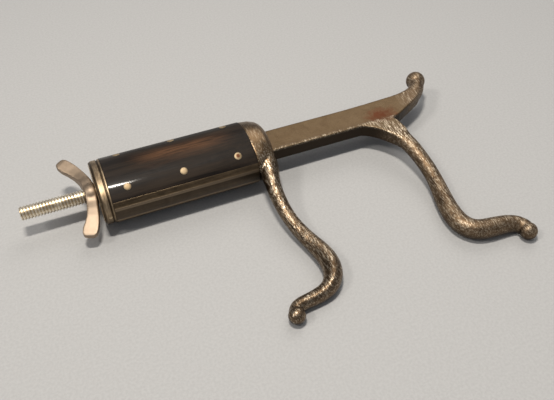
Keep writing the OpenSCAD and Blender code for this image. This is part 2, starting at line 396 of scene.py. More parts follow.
def partsOf(tree, vector):
    made = addNode(tree, "SeparateXYZ")
    tree.links.new(vector, made.inputs["Vector"])
    return made.outputs["X"], made.outputs["Y"], made.outputs["Z"]


def rangeOf(tree, value, low, high, toLow=0.0, toHigh=1.0):
    made = addNode(tree, "MapRange", interpolation_type="SMOOTHSTEP")
    wire(tree, value, made.inputs["Value"])
    made.inputs["From Min"].default_value = low
    made.inputs["From Max"].default_value = high
    made.inputs["To Min"].default_value = toLow
    made.inputs["To Max"].default_value = toHigh
    return made.outputs["Result"]


# the same over a span of the piece in mm, counted from a given place
def spanOf(tree, value, span, toLow=0.0, toHigh=1.0, start=0.0):
    return rangeOf(tree, value, start + span[0] * mm, start + span[1] * mm, toLow, toHigh)


def bumpOf(tree, height, strength, distance, under=None):
    made = addNode(tree, "Bump")
    made.inputs["Strength"].default_value = strength
    made.inputs["Distance"].default_value = distance * mm
    tree.links.new(height, made.inputs["Height"])
    if under is not None:
        tree.links.new(under, made.inputs["Normal"])
    return made.outputs["Normal"]


def recolour(tree, shader, colour):
    tree.links.new(colour, shader.inputs["Base Color"])


# dark horn with a reddish streak along its crown
hornLook = {
    "black": (0.008, 0.006, 0.005),
    "brown": (0.020, 0.013, 0.009),
    "streak": (0.125, 0.060, 0.029),
    "haze": (0.052, 0.037, 0.026),
    # places and widths in mm
    "streakHalfWidth": 10.5,
    "streakY": 1.5,
    "streakX": (-34, 40),
    "streakFade": (30, 26),
    "streakWave": 11,
    "streakRise": (0, 8),
    "scuffs": (12, 38),
    "polishX": (-41, -24),
    "polish": (0.34, 0.02),
}


def makeHorn():
    look = hornLook
    material, tree, shader = startMaterial("polishedHorn", IOR=1.4, Specular_IOR_Level=0.2,
                                           Coat_Roughness=0.1)
    plain = objectCoords(tree)
    along = objectCoords(tree, scale=(0.07, 1, 1))
    fibres = noiseOf(tree, along, 900, 8, 0.62, 0.3)
    clouds = noiseOf(tree, along, 150, 5, 0.55, 0.6)
    x, y, z = partsOf(tree, plain)
    browner = rampOf(tree, fibres, [(0.38, 0.0), (0.66, 1.0)])
    base = mixOf(tree, browner, look["black"], look["brown"])
    base = mixOf(tree, rampOf(tree, clouds, [(0.48, 0.0), (0.72, 0.55)]), base, look["haze"])
    # the streak follows the crown, frays along the fibres and fades at both ends
    wave = sumOf(tree, "MULTIPLY_ADD", noiseOf(tree, along, 170, 4),
                 look["streakWave"] * mm, -look["streakWave"] / 2 * mm)
    aside = sumOf(tree, "ABSOLUTE", sumOf(tree, "SUBTRACT", y, look["streakY"] * mm))
    band = spanOf(tree, sumOf(tree, "ADD", aside, wave), (-1, look["streakHalfWidth"]), 1.0, 0.0)
    low, high = look["streakX"]
    fadeIn, fadeOut = look["streakFade"]
    ends = productOf(tree, spanOf(tree, x, (low, low + fadeIn)),
                     spanOf(tree, x, (high - fadeOut, high), 1.0, 0.0))
    streak = productOf(tree, band, ends, spanOf(tree, z, look["streakRise"], start=axisZ),
                       rangeOf(tree, fibres, 0.34, 0.62, 0.25, 1.0))
    base = mixOf(tree, streak, base, look["streak"])
    # pale rubbing marks near the collar
    slanted = objectCoords(tree, scale=(0.35, 1, 1), turn=(0, 0, 0.7))
    rubbed = productOf(tree, rangeOf(tree, noiseOf(tree, slanted, 1500, 5, 0.7), 0.56, 0.7),
                       spanOf(tree, x, look["scuffs"], 0.08, 0.7))
    base = mixOf(tree, rubbed, base, look["haze"])
    rough = sumOf(tree, "ADD", rangeOf(tree, clouds, 0.35, 0.7, 0.42, 0.6),
                  productOf(tree, rubbed, 0.25))
    recolour(tree, shader, base)
    tree.links.new(rough, shader.inputs["Roughness"])
    # the polish is left only next to the ferrule, where no hand has rubbed it off
    tree.links.new(spanOf(tree, x, look["polishX"], *look["polish"]), shader.inputs["Coat Weight"])
    normal = bumpOf(tree, fibres, 0.3, 0.12)
    normal = bumpOf(tree, noiseOf(tree, plain, 75, 3), 0.5, 0.5, normal)
    tree.links.new(normal, shader.inputs["Normal"])
    return material


def blotchesOf(tree):
    return noiseOf(tree, objectCoords(tree), 120, 6, 0.62, 0.4)


def blotchedColour(tree, blotches, look):
    share = rampOf(tree, blotches, [(0.34, 0.0), (0.66, 1.0)])
    return mixOf(tree, share, look["dark"], look["light"])


# worn metal: blotched base colours, dirt in the fine lines, bright wear on the high spots
def makeMetal(name, look):
    material, tree, shader = startMaterial(name, Metallic=1.0)
    stretched = objectCoords(tree, scale=look.get("stretch", (1, 1, 1)))
    lines = noiseOf(tree, stretched, look["grain"], 6, 0.65)
    blotches = blotchesOf(tree)
    colour = blotchedColour(tree, blotches, look)
    colour = mixOf(tree, rangeOf(tree, lines, 0.35, 0.62, look.get("dirt", 0.4), 0.0), colour,
                   tuple(c * 0.3 for c in look["dark"]))
    edges = rangeOf(tree, addNode(tree, "NewGeometry").outputs["Pointiness"], 0.52, 0.6)
    colour = mixOf(tree, productOf(tree, edges, 0.8), colour, look["worn"])
    both = sumOf(tree, "MULTIPLY_ADD", blotches, 0.6, productOf(tree, lines, 0.4))
    recolour(tree, shader, colour)
    tree.links.new(rangeOf(tree, both, 0.35, 0.65, *look["rough"]), shader.inputs["Roughness"])
    normal = bumpOf(tree, lines, 0.3, look.get("depth", 0.06))
    tree.links.new(normal, shader.inputs["Normal"])
    return material, tree, shader, colour, normal


# strokes of a coarse file, crossed in two directions
def fileStrokes(tree, scale=1400, angles=(-38, 36)):
    first, second = (objectCoords(tree, scale=(1, 0.16, 1), turn=(0, 0, math.radians(angle)))
                     for angle in angles)
    return sumOf(tree, "MAXIMUM", noiseOf(tree, first, scale, 3, 0.6),
                 noiseOf(tree, second, scale, 3, 0.6))


# painted shade on faces that look down, masked by the world normal
def paintShadeUnder(tree, colour, dirt, share):
    x, y, z = partsOf(tree, addNode(tree, "NewGeometry").outputs["Normal"])
    return mixOf(tree, productOf(tree, rangeOf(tree, z, -0.35, 0.6, 0.8, 0.0), share), colour, dirt)


forgedLook = {
    "dark": (0.110, 0.070, 0.040), "light": (0.225, 0.155, 0.096), "worn": (0.90, 0.77, 0.59),
    "rough": (0.27, 0.4), "grain": 1500, "depth": 0.1, "dirt": 0.5,
}
# bumps, the colour of the painted shade under the limbs, and the shares of the painted glitter
# highlight
limbMarks = {
    "strokeDepth": 0.2, "lumpScale": 240, "lumpDepth": 0.28, "under": (0.030, 0.020, 0.013),
    "limbShine": 0.45, "glintShine": 0.65,
}


# hammered and filed limbs, with a painted glitter highlight on the file strokes and painted shade
# on faces that look down: the share says where, from 0 to 1
def forgeSurface(tree, shader, colour, normal, share, paintedGlints, underShadeShare=1.0):
    strokes = fileStrokes(tree)
    lumps = noiseOf(tree, objectCoords(tree, turn=(0.3, 0.2, 0.6)), limbMarks["lumpScale"], 2, 0.5)
    normal = bumpOf(tree, productOf(tree, lumps, share), 1.0, limbMarks["lumpDepth"], normal)
    marked = productOf(tree, strokes, sumOf(tree, "MAXIMUM", share, paintedGlints))
    normal = bumpOf(tree, marked, 1.0, limbMarks["strokeDepth"], normal)
    paintedShine = sumOf(tree, "MULTIPLY_ADD", paintedGlints, limbMarks["glintShine"],
                  productOf(tree, share, limbMarks["limbShine"]))
    # painted highlight: the file strokes take a pale glitter colour
    paintedGlitter = sumOf(tree, "MULTIPLY", rangeOf(tree, strokes, 0.53, 0.66), paintedShine, clamp=True)
    colour = mixOf(tree, paintedGlitter, colour, forgedLook["worn"])
    # painted shade: faces that look down are darkened
    recolour(tree, shader, paintShadeUnder(tree, colour, limbMarks["under"], underShadeShare))
    tree.links.new(normal, shader.inputs["Normal"])


# how the collar differs from the arm, where a painted highlight lies on both, and how much less
# painted shade the collar gets, in mm
collarLook = {
    "tone": (0.225, 0.146, 0.080), "toneShare": 0.65, "smoother": 0.55, "lessUnderShade": 0.8,
    "from": (-24, -14), "nearSide": (-16, -8), "armRoot": (-60, -36),
    "height": (-5, 3), "paintedShine": 0.55,
}


def makeForged():
    look = collarLook
    material, tree, shader, colour, normal = makeMetal("forgedSteel", forgedLook)
    x, y, z = partsOf(tree, objectCoords(tree))
    # the collar is browner and smoother than the arm that grows from it
    collar = spanOf(tree, y, look["from"])
    colour = mixOf(tree, productOf(tree, collar, look["toneShare"]), colour, look["tone"])
    # painted highlight on its near side and on the root of the arm, stronger higher up
    paintedGlints = productOf(tree, spanOf(tree, y, look["nearSide"], 1.0, 0.0),
                       spanOf(tree, y, look["armRoot"]),
                       spanOf(tree, z, look["height"], 0.0, look["paintedShine"], axisZ))
    share = sumOf(tree, "SUBTRACT", 1.0, productOf(tree, collar, look["smoother"]))
    # the collar gets less of the painted shade on its downward faces
    underShadeShare = sumOf(tree, "SUBTRACT", 1.0, productOf(tree, collar, look["lessUnderShade"]))
    forgeSurface(tree, shader, colour, normal, share, paintedGlints, underShadeShare)
    return material


barLook = {
    "dark": (0.160, 0.106, 0.058), "light": (0.240, 0.168, 0.098), "worn": (0.66, 0.56, 0.42),
    "rough": (0.42, 0.55), "grain": 2300, "depth": 0.12, "dirt": 0.5,
    # the near-black painted shade on the bar's sides
    "side": (0.024, 0.022, 0.019), "sideShadeShare": 0.88,
}
# where the bar's finishes, its painted side shade and its painted edge highlight change, in mm;
# heights are from the axis
barPlaces = {
    "topHeight": (3.4, 4.4), "armY": (-25, -13), "hookX": (150, 164),
    "edgeY": (-8.7, -6.9), "edgeEnd": (-40, -24), "edgeHeight": (2.8, 3.8),
}
oxideSpot = {"x": 135.4, "y": -4.2, "size": (12.0, 7.2), "ragged": 2.4,
             "colour": (0.130, 0.036, 0.015)}


def makeDrawnBar():
    material, tree, shader, colour, normal = makeMetal("drawnBarSteel", barLook)
    plain = objectCoords(tree)
    x, y, z = partsOf(tree, plain)
    # a red oxide bloom on the top of the bar's head
    spot, places = oxideSpot, barPlaces
    across = sumOf(tree, "DIVIDE", sumOf(tree, "SUBTRACT", x, spot["x"] * mm), spot["size"][0] * mm)
    down = sumOf(tree, "DIVIDE", sumOf(tree, "SUBTRACT", y, spot["y"] * mm), spot["size"][1] * mm)
    frayed = sumOf(tree, "MULTIPLY_ADD", noiseOf(tree, plain, 300, 7, 0.7),
                   spot["ragged"], -spot["ragged"] / 2)
    ragged = sumOf(tree, "ADD", lengthOf(tree, across, down), frayed)
    top = spanOf(tree, z, places["topHeight"], start=axisZ)
    bloom = productOf(tree, rangeOf(tree, ragged, 0.1, 1.25, 0.85, 0.0), top)
    # painted shade: the sides are much darker than the top
    paintedSideShade = sumOf(tree, "SUBTRACT", barLook["sideShadeShare"],
                      productOf(tree, top, barLook["sideShadeShare"]))
    colour = mixOf(tree, paintedSideShade, colour, barLook["side"])
    limb = sumOf(tree, "MAXIMUM", spanOf(tree, y, places["armY"], 1.0, 0.0),
                 spanOf(tree, x, places["hookX"]))
    colour = mixOf(tree, limb, colour, blotchedColour(tree, blotchesOf(tree), forgedLook))
    colour = mixOf(tree, bloom, colour, spot["colour"])
    # painted highlight along the near top edge and round into the arm, where the file strokes
    # glitter
    paintedGlints = productOf(tree, spanOf(tree, y, places["edgeY"], 1.0, 0.0),
                       spanOf(tree, y, places["edgeEnd"]),
                       spanOf(tree, z, places["edgeHeight"], start=axisZ))
    forgeSurface(tree, shader, colour, normal, limb, paintedGlints)
    return material


metalLooks = {
    "rail": {
        "dark": (0.022, 0.017, 0.013), "light": (0.066, 0.050, 0.037), "worn": (0.26, 0.20, 0.14),
        "rough": (0.36, 0.5), "grain": 1500, "stretch": (0.05, 1, 1)},
    "liner": {
        "dark": (0.045, 0.030, 0.019), "light": (0.150, 0.104, 0.064), "worn": (0.42, 0.31, 0.19),
        "rough": (0.36, 0.5), "grain": 1500, "stretch": (0.05, 1, 1), "dirt": 0.6},
    "rivet": {
        "dark": (0.36, 0.26, 0.15), "light": (0.60, 0.48, 0.32), "worn": (0.72, 0.6, 0.42),
        "rough": (0.5, 0.62), "grain": 2600, "depth": 0.05},
    "nut": {
        "dark": (0.31, 0.238, 0.175), "light": (0.38, 0.296, 0.222), "worn": (0.56, 0.44, 0.34),
        "rough": (0.44, 0.54), "grain": 2300, "stretch": (1, 0.3, 0.3), "dirt": 0.1, "depth": 0.03},
    "plate": {
        "dark": (0.13, 0.085, 0.045), "light": (0.34, 0.24, 0.135), "worn": (0.7, 0.55, 0.34),
        "rough": (0.32, 0.46), "grain": 1500},
}

ferruleLook = {
    "dark": (0.30, 0.215, 0.132), "light": (0.54, 0.42, 0.285), "worn": (0.85, 0.72, 0.53),
    "rough": (0.36, 0.5), "grain": 1300, "stretch": (1, 0.1, 0.1), "dirt": 0.5,
    "darkAndShadeColour": (0.036, 0.023, 0.013),
    # in mm: from the horn's end, from the ferrule's rear, and up from the axis
    "grooveStart": (-2.5, -1.9), "grooveEnd": (-1.3, -0.9), "bevel": (0.9, 1.7), "low": (-6, 6),
}


def makeFerruleBrass():
    material, tree, shader, colour, normal = makeMetal("ferruleBrass", ferruleLook)
    x, y, z = partsOf(tree, objectCoords(tree))
    # darker in the groove before the bead and on the rear bevel, and painted shade low down, darker
    # towards the bottom
    look = ferruleLook
    groove = productOf(tree, spanOf(tree, x, look["grooveStart"], start=-hornEnd),
                       spanOf(tree, x, look["grooveEnd"], 1.0, 0.0, -hornEnd), 0.85)
    bevel = spanOf(tree, x, look["bevel"], 0.8, 0.0, ferruleRear)
    # painted shade: darker towards the bottom of the ferrule
    low = spanOf(tree, z, look["low"], 0.75, 0.0, axisZ)
    dirt = sumOf(tree, "MAXIMUM", sumOf(tree, "MAXIMUM", groove, bevel), low)
    recolour(tree, shader, mixOf(tree, dirt, colour, look["darkAndShadeColour"]))
    return material


screwLook = {
    "dark": (0.72, 0.61, 0.46), "light": (0.96, 0.87, 0.72), "worn": (0.98, 0.92, 0.8),
    "rough": (0.28, 0.42), "grain": 1800, "dirt": 0.25,
    # painted shade between the threads, in mm from the outside diameter
    "root": (-0.85, -0.45), "rootShadeColour": (0.11, 0.07, 0.04),
}


def makeThreadSteel():
    material, tree, shader, colour, normal = makeMetal("threadSteel", screwLook)
    x, y, z = partsOf(tree, objectCoords(tree))
    fromAxis = lengthOf(tree, y, sumOf(tree, "SUBTRACT", z, axisZ))
    # painted shade: darker towards the thread roots
    root = spanOf(tree, fromAxis, screwLook["root"], 0.6, 0.0, screwRadius)
    recolour(tree, shader, mixOf(tree, root, colour, screwLook["rootShadeColour"]))
    return material


# one rivet has lost its finish and rusted in the middle
rustyRivet = {"x": 33.5, "y": -14.3, "rust": (0.7, 1.5), "colour": (0.12, 0.042, 0.020)}


def makeRivetBrass():
    material, tree, shader, colour, normal = makeMetal("paleRivetBrass", metalLooks["rivet"])
    x, y, z = partsOf(tree, objectCoords(tree))
    across = sumOf(tree, "SUBTRACT", x, rustyRivet["x"] * mm)
    down = sumOf(tree, "SUBTRACT", y, rustyRivet["y"] * mm)
    rust = spanOf(tree, lengthOf(tree, across, down), rustyRivet["rust"], 0.95, 0.0)
    recolour(tree, shader, mixOf(tree, rust, colour, rustyRivet["colour"]))
    return material


hornMaterial = makeHorn()
forgedMaterial = makeForged()
barMaterial = makeDrawnBar()
ferruleMaterial = makeFerruleBrass()
screwMaterial = makeThreadSteel()
rivetMaterial = makeRivetBrass()
railMaterial = makeMetal("brownedRail", metalLooks["rail"])[0]
linerMaterial = makeMetal("tarnishedLiner", metalLooks["liner"])[0]
nutMaterial = makeMetal("nutBronze", metalLooks["nut"])[0]
plateMaterial = makeMetal("dullPlate", metalLooks["plate"])[0]
print("materials made")


# horn scales: two halves of an oval turning, with eased ends
scaleShape = {
    "from": 7.95, "endEase": 0.5, "rings": 44, "tongueStep": 0.02,
    "warp": 0.16, "warpSize": 14, "warpFrom": (9.5, 12), "offTable": (0.02, 1.5), "flat": 0.03,
}


# the tongue that goes into the ferrule, and the step up to the handle's own oval
def tongueRows():
    end = hornEnd / mm
    return [(hornLow.x / mm, tongueRadius / mm),
            (-end - scaleShape["tongueStep"], tongueRadius / mm), (-end, handleRadius / mm)]


def makeHornScale(name, node, side):
    shape = scaleShape
    end, rings = hornEnd / mm, shape["rings"]
    rows = tongueRows()
    rows += [(-end + (2 * end) * i / rings, handleRadius / mm) for i in range(1, rings + 1)]
    piece = ovalTurning(rows)
    level = axisZ + side * shape["from"] * mm
    cutAway(piece, (0, 0, level), (0, 0, -side))
    if side < 0:
        cutAway(piece, (0, 0, 0), (0, 0, -1))
    softenEdges(piece, shape["endEase"], 3, 50)
    skin = keepGroup(piece, "skin", lambda co: fade(shape["warpFrom"], side * (co.z - axisZ))
                     * fade(shape["offTable"], co.z))
    dentSkin(piece, skin, "CLOUDS", shape["warpSize"], shape["warp"])
    # the strip that the handle lies on stays flat
    if side < 0:
        startEditing(piece)
        selectWhere(piece, lambda v: v.co.z < shape["flat"] * mm)
        bpy.ops.transform.resize(value=(1, 1, 0), center_override=(0, 0, 0))
        stopEditing()
    return finishPiece(piece, name, "handle", [node], hornMaterial)


makeHornScale("topHornScale", "top_scale", 1)
makeHornScale("bottomHornScale", "bottom_scale", -1)

# metal frame between the scales: two liners and two rails, cut from the same oval
frameShape = {"slotHalfHeight": 4.75, "linerTop": 7.95, "railInner": 9.65, "ease": 0.12}


def makeFrameSlice(name, node, low, high, side, material):
    piece = ovalTurning(tongueRows() + [(hornEnd / mm, handleRadius / mm)])
    cutAway(piece, (0, 0, axisZ + high * mm), (0, 0, 1))
    cutAway(piece, (0, 0, axisZ + low * mm), (0, 0, -1))
    if side:
        cutAway(piece, (0, side * frameShape["railInner"] * mm, axisZ), (0, -side, 0))
    softenEdges(piece, frameShape["ease"], 2, 40)
    return finishPiece(piece, name, "handle", [node], material)


slot, stack = frameShape["slotHalfHeight"], frameShape["linerTop"]
makeFrameSlice("topLinerPlate", "top_liner", slot, stack, 0, linerMaterial)
makeFrameSlice("bottomLinerPlate", "bottom_liner", -stack, -slot, 0, linerMaterial)
makeFrameSlice("nearRail", "near_side_rail", -slot, slot, -1, railMaterial)
makeFrameSlice("farRail", "far_side_rail", -slot, slot, 1, railMaterial)

# rivets: short pins with worn domed heads that follow the slope of the horn
rivetShape = {
    "row": 14.3, "spacing": 33.5, "radius": 2.2, "worn": (0.93, 1.06), "seed": 11,
    "proud": 0.22, "depth": 3.0, "ease": 0.14, "domeHeight": 0.21,
    # the dome's two steps: share of the radius, rise
    "dome": [(0.28, 0.14), (0.3, 0.07)],
}


def makeRivets():
    shape = rivetShape
    random.seed(shape["seed"])
    y, depth = shape["row"] * mm, shape["depth"] * mm
    sunk = shape["proud"] * mm - shape["domeHeight"] * mm - depth / 2
    rise = handleRadius * math.sqrt(1 - (y / (handleRadius * ovalRatio)) ** 2)
    slope = math.atan2(y / ovalRatio ** 2, rise)
    rivets = []
    for top in (1, -1):
        for side in (-1, 1):
            for along in (-1, 0, 1):
                deselectAll()
                radius = shape["radius"] * mm * random.uniform(*shape["worn"])
                bpy.ops.mesh.primitive_cylinder_add(vertices=28, radius=radius, depth=depth)
                pin = bpy.context.object
                startEditing(pin)
                selectWhere(pin, lambda f: f.normal.z > 0.9, "FACE")
                for inward, up in shape["dome"]:
                    bpy.ops.mesh.inset(thickness=radius * inward)
                    bpy.ops.transform.translate(value=(0, 0, up * mm))
                stopEditing()
                softenEdges(pin, shape["ease"], 2, 20)
                tilt = -side * slope if top > 0 else math.pi + side * slope
                pin.rotation_euler = (tilt, 0, 0)
                normal = Matrix.Rotation(tilt, 3, "X") @ Vector((0, 0, 1))
                seat = Vector((along * shape["spacing"] * mm, side * y, axisZ + top * rise))
                pin.location = seat + normal * sunk
                applyPlace(pin)
                rivets.append(pin)
    joined = joinPieces(rivets)
    return finishPiece(joined, "scaleRivets", "handle", ["scale_rivets"],
                       rivetMaterial)


makeRivets()

# ferrule: bevel, band, dark groove and a gold bead against the horn
ferruleShape = {
    "bandRadius": 15.7, "grooveRadius": 15.3, "beadRadius": 15.8, "ease": 0.12, "rim": 0.3,
    # distances from the rear, then from the front
    "bevelEnd": 1.4, "bandStart": 1.6,
    "bandEnd": 1.95, "groove": (1.7, 1.2), "bead": (0.95, 0.25), "beadEdge": 0.15,
}


def makeFerrule():
    shape = ferruleShape
    rear, front = ferruleRear / mm, -hornEnd / mm
    band, groove, bead = shape["bandRadius"], shape["grooveRadius"], shape["beadRadius"]
    inner = tongueRadius / mm
    piece = ovalTurning([
        (rear, inner), (rear, inner + shape["rim"]), (rear + shape["bevelEnd"], band),
        (rear + shape["bandStart"], band), (front - shape["bandEnd"], band),
        (front - shape["groove"][0], groove), (front - shape["groove"][1], groove),
        (front - shape["bead"][0], bead), (front - shape["bead"][1], bead),
        (front, bead - shape["beadEdge"]), (front, inner), (rear, inner)], closedRing=True)
    softenEdges(piece, shape["ease"], 3, 14)
    return finishPiece(piece, "rearFerrule", "handle", ["rear_ferrule"],
                       ferruleMaterial)


makeFerrule()

# collar and fixed arm, forged in one: the arm flows out of the collar's near side
fixedArmShape = {
    "rows": [
        (52.0, -6, 0, 6.6, 10.6), (51.8, -13, 0, 6.8, 10.0), (51.1, -19, 0.01, 6.5, 8.3),
        (50.0, -24.5, 0.03, 5.6, 6.5), (49.0, -30, 0.09, 4.9, 5.3),
        (48.3, -38, 0.25, 4.6, 4.6), (48.5, -49, 0.48, 4.4, 4.4),
        (49.8, -58, 0.66, 4.4, 4.4), (52.3, -67, 0.82, 4.6, 4.6), (55.4, -76, 0.94, 5.1, 5.0),
        (57.8, -84, 0.99, 5.7, 5.5), (58.7, -92, 1, 5.9, 5.8), (57.0, -101, 1, 5.7, 5.7),
        (51.8, -107, 1, 5.0, 5.0), (45.6, -109, 1, 4.5, 4.5), (39.6, -110, 1, 4.2, 4.3),
        (34.2, -110.4, 1, 4.1, 4.2), (30.2, -111.6, 1, 4.1, 4.2), (28, -114.3, 1, 4.1, 4.2),
        (27.9, -116.5, 1, 4.1, 4.2)],
    "knob": (27.9, -116.9, 4.85),
    "voxel": 0.42,
    "hammerSize": 1.8,
    "hammerDepth": 0.09,
    "rootSmoothing": 34,
    # where the root's smoothing sets in and ends, and where the hammer marks set in
    "rootStart": (-10, -15),
    "rootEnd": (-32, -25),
    "marksFrom": (-20, -27),
    "offTable": (0.1, 1.2),
}
collarShape = {
    # (distance from the horn's end, oval radius)
    "profile": [(0, 15.75), (6, 15.25), (10, 14.1), (12.1, 12.6), (13, 11.2)],
    "slotWidth": 19.5, "slotHeight": 9.7, "slotMiddle": 6.5, "slotLength": 40,
}


def makeCollarAndArm():
    arm, collar = fixedArmShape, collarShape
    rear = hornEnd / mm
    band = ovalTurning([(rear + along, radius) for along, radius in collar["profile"]])
    piece = weldTogether([band, roundLimb(arm["rows"]), addKnob(arm["knob"])], arm["voxel"])
    root = keepGroup(piece, "root", lambda co: fade(arm["rootStart"], co.y)
                     * fade(arm["rootEnd"], co.y))
    smoothPart(piece, root, arm["rootSmoothing"])
    limb = keepGroup(piece, "limb", lambda co: fade(arm["marksFrom"], co.y)
                     * fade(arm["offTable"], co.z))
    dentSkin(piece, limb, "VORONOI", arm["hammerSize"], arm["hammerDepth"])
    smoothOffTable(piece)
    deselectAll()
    bpy.ops.mesh.primitive_cube_add(
        size=1, location=((rear + collar["slotMiddle"]) * mm, 0, axisZ),
        scale=(collar["slotLength"] * mm, collar["slotWidth"] * mm, collar["slotHeight"] * mm))
    cutter = bpy.context.object
    applyPlace(cutter)
    cutWith(piece, cutter)
    return finishPiece(piece, "collarAndFixedArm", "handle", ["front_collar", "fixed_arm"],
                       forgedMaterial, 40)


makeCollarAndArm()

# sliding bar, moving arm and hook, forged in one
barShape = {
    "bar": [(17.5, 0, 0, 9.45, 4.55), (60, 0, 0, 9.45, 4.55), (100, 0, 0, 9.45, 4.55),
            (117, 0.05, 0, 9.5, 4.55), (130, 0.1, 0, 9.8, 4.55), (139, 0.3, 0, 10.0, 4.55),
            (145.5, 1.6, 0, 9.2, 4.55), (152.5, 3.7, 0, 7.4, 4.55), (159.5, 5.9, 0, 6.1, 4.6),
            (166.3, 9.1, 0, 5.3, 4.7), (171.5, 13.1, 0, 4.3, 4.1)],
    "hook": [(159.5, 5.9, 0, 5.3, 4.3), (166.4, 9.2, 0, 5.5, 4.9), (171.6, 13, 0, 5.3, 5.2),
             (175.4, 18, 0, 5.2, 5.3), (177.3, 22, 0, 5.3, 5.4)],
    "hookKnob": (177.8, 23.7, 6.55),
    "armRoot": [(118.5, 0.5, 0, 9.3, 4.4), (127, -3.5, 0, 8.7, 4.5), (133.6, -9.2, 0, 8.4, 4.55),
                (137.3, -15.6, 0.01, 7.1, 4.6), (139.8, -22.5, 0.03, 5.5, 4.7),
                (142.3, -30, 0.1, 3.9, 3.6)],
    "arm": [
        (137.5, -16, 0.01, 5.4, 4.4), (139.8, -22.5, 0.03, 5.6, 4.9), (142.4, -30, 0.1, 5.4, 5.2),
        (144.3, -41, 0.32, 4.9, 4.9), (145.2, -52, 0.54, 4.8, 4.8), (144.7, -62, 0.73, 4.9, 4.9),
        (143.1, -71, 0.88, 5.4, 5.3), (141.4, -80, 0.96, 5.8, 5.7), (140.4, -89, 0.99, 6.1, 6.0),
        (141.6, -97.4, 1, 6.3, 6.1), (147, -103.2, 1, 6.3, 6.1), (156, -104.1, 1, 6.0, 5.9),
        (163.5, -104.6, 1, 5.6, 5.6), (169.4, -105.5, 1, 5.2, 5.3), (173.2, -107.4, 1, 4.9, 5.0),
        (175.1, -110.8, 1, 4.8, 5.0), (175.3, -113.4, 1, 4.8, 5.0)],
    "armKnob": (175.2, -114.2, 5.25),
    "voxel": 0.45,
    "hammerSize": 1.8,
    "hammerDepth": 0.09,
    "rootSmoothing": 45,
    # where the smoothing of the arm's and the hook's roots sets in and ends
    "armRootStart": (-19, -25),
    "armRootEnd": (-37, -29),
    "hookRootStart": (157, 163),
    "hookRootEnd": (178, 171),
    "hookSide": (-30, -10),
    # the notch between them is smoothed only lightly
    "notch": (144.5, -10.5),
    "notchReach": (9, 4),
    "notchShare": 0.2,
    # where the hammer marks set in
    "armMarks": (-18, -28),
    "hookMarks": (154, 164),
    "hookMarksSide": (-30, -20),
    "offTable": (0.1, 1.2),
}


def makeBarAndArm():
    shape = barShape
    piece = weldTogether([
        flatLimb(shape["bar"]), flatLimb(shape["armRoot"]), roundLimb(shape["hook"]),
        roundLimb(shape["arm"]), addKnob(shape["hookKnob"], height=axisZ),
        addKnob(shape["armKnob"]),
    ], shape["voxel"])

    notchPoint = Vector((shape["notch"][0] * mm, shape["notch"][1] * mm, axisZ))

    def rootShare(co):
        armRoot = fade(shape["armRootStart"], co.y) * fade(shape["armRootEnd"], co.y)
        hookRoot = fade(shape["hookRootStart"], co.x) * fade(shape["hookRootEnd"], co.x)
        notch = fade(shape["notchReach"], (co - notchPoint).length) * shape["notchShare"]
        return max(armRoot, hookRoot * fade(shape["hookSide"], co.y), notch)

    def limbShare(co):
        arm = fade(shape["armMarks"], co.y) * fade(shape["offTable"], co.z)
        hook = fade(shape["hookMarks"], co.x) * fade(shape["hookMarksSide"], co.y)
        return max(arm, hook)

    smoothPart(piece, keepGroup(piece, "root", rootShare), shape["rootSmoothing"])
    limb = keepGroup(piece, "limb", limbShare)
    dentSkin(piece, limb, "VORONOI", shape["hammerSize"], shape["hammerDepth"])
    smoothOffTable(piece)
    return finishPiece(piece, "barArmAndHook", "slider", ["slide_bar", "moving_arm", "curl_hook"],
                       barMaterial, 40)


makeBarAndArm()

# screw: one V of thread, wound along the axis and cut to length
threadShape = {
    "pitch": 1.8, "depth": 1.0, "crestCut": 0.3, "steps": 28, "tipEase": 0.9,
    "clearance": 0.02, "turnsBefore": 2, "spareTurns": 4,
}


def makeThread():
    shape = threadShape
    rear, front = screwLow.x, barShape["bar"][0][0] * mm
    pitch = shape["pitch"] * mm
    crest = screwRadius + shape["crestCut"] * mm
    root = crest - shape["depth"] * mm
    deselectAll()
    bpy.ops.mesh.primitive_plane_add(size=1)
    piece = bpy.context.object
    startEditing(piece)
    bpy.ops.mesh.delete(type="ONLY_FACE")
    selectWhere(piece, lambda v: v.co.x < 0 and v.co.y < 0)
    bpy.ops.mesh.delete(type="VERT")
    bpy.ops.mesh.select_all(action="SELECT")
    # three points are left, in an L: turned an eighth they make the V of one thread
    bpy.ops.transform.rotate(value=-math.radians(45), orient_axis="Z", center_override=(0, 0, 0))
    corners = [v.co.copy() for v in bmesh.from_edit_mesh(piece.data).verts]
    width = max(c.x for c in corners) - min(c.x for c in corners)
    height = max(c.y for c in corners) - min(c.y for c in corners)
    bpy.ops.transform.resize(value=(pitch / width, (crest - root) / height, 1),
                             center_override=(0, 0, 0))
    corners = [v.co.copy() for v in bmesh.from_edit_mesh(piece.data).verts]
    start = rear - shape["turnsBefore"] * pitch
    shift = (start - min(c.x for c in corners), root - min(c.y for c in corners), 0)
    bpy.ops.transform.translate(value=shift)
    stopEditing()
    turns = int((front - rear) / pitch) + shape["spareTurns"]
    addModifier(piece, "SCREW", axis="X", angle=2 * math.pi, screw_offset=pitch, iterations=turns,
                steps=shape["steps"], render_steps=shape["steps"], use_merge_vertices=False)
    applyModifiers(piece)
    fixNormals(piece)
    cutAway(piece, (rear, 0, 0), (-1, 0, 0))
    cutAway(piece, (front, 0, 0), (1, 0, 0))
    fixNormals(piece)
    startEditing(piece)
    bpy.ops.transform.translate(value=(0, 0, axisZ))
    stopEditing()
    deselectAll()
    # a blank of the finished diameter cuts the crests flat and eases both tips
    bpy.ops.mesh.primitive_cylinder_add(
        vertices=64, radius=screwRadius - shape["clearance"] * mm, depth=front - rear,
        location=((rear + front) / 2, 0, axisZ), rotation=(0, math.pi / 2, 0))
    blank = bpy.context.object
    applyPlace(blank)
    softenEdges(blank, shape["tipEase"], 3, 40)
    cutWith(piece, blank, "INTERSECT")
    return finishPiece(piece, "threadedScrew", "slider", ["draw_screw"],
                       screwMaterial, 25)


makeThread()

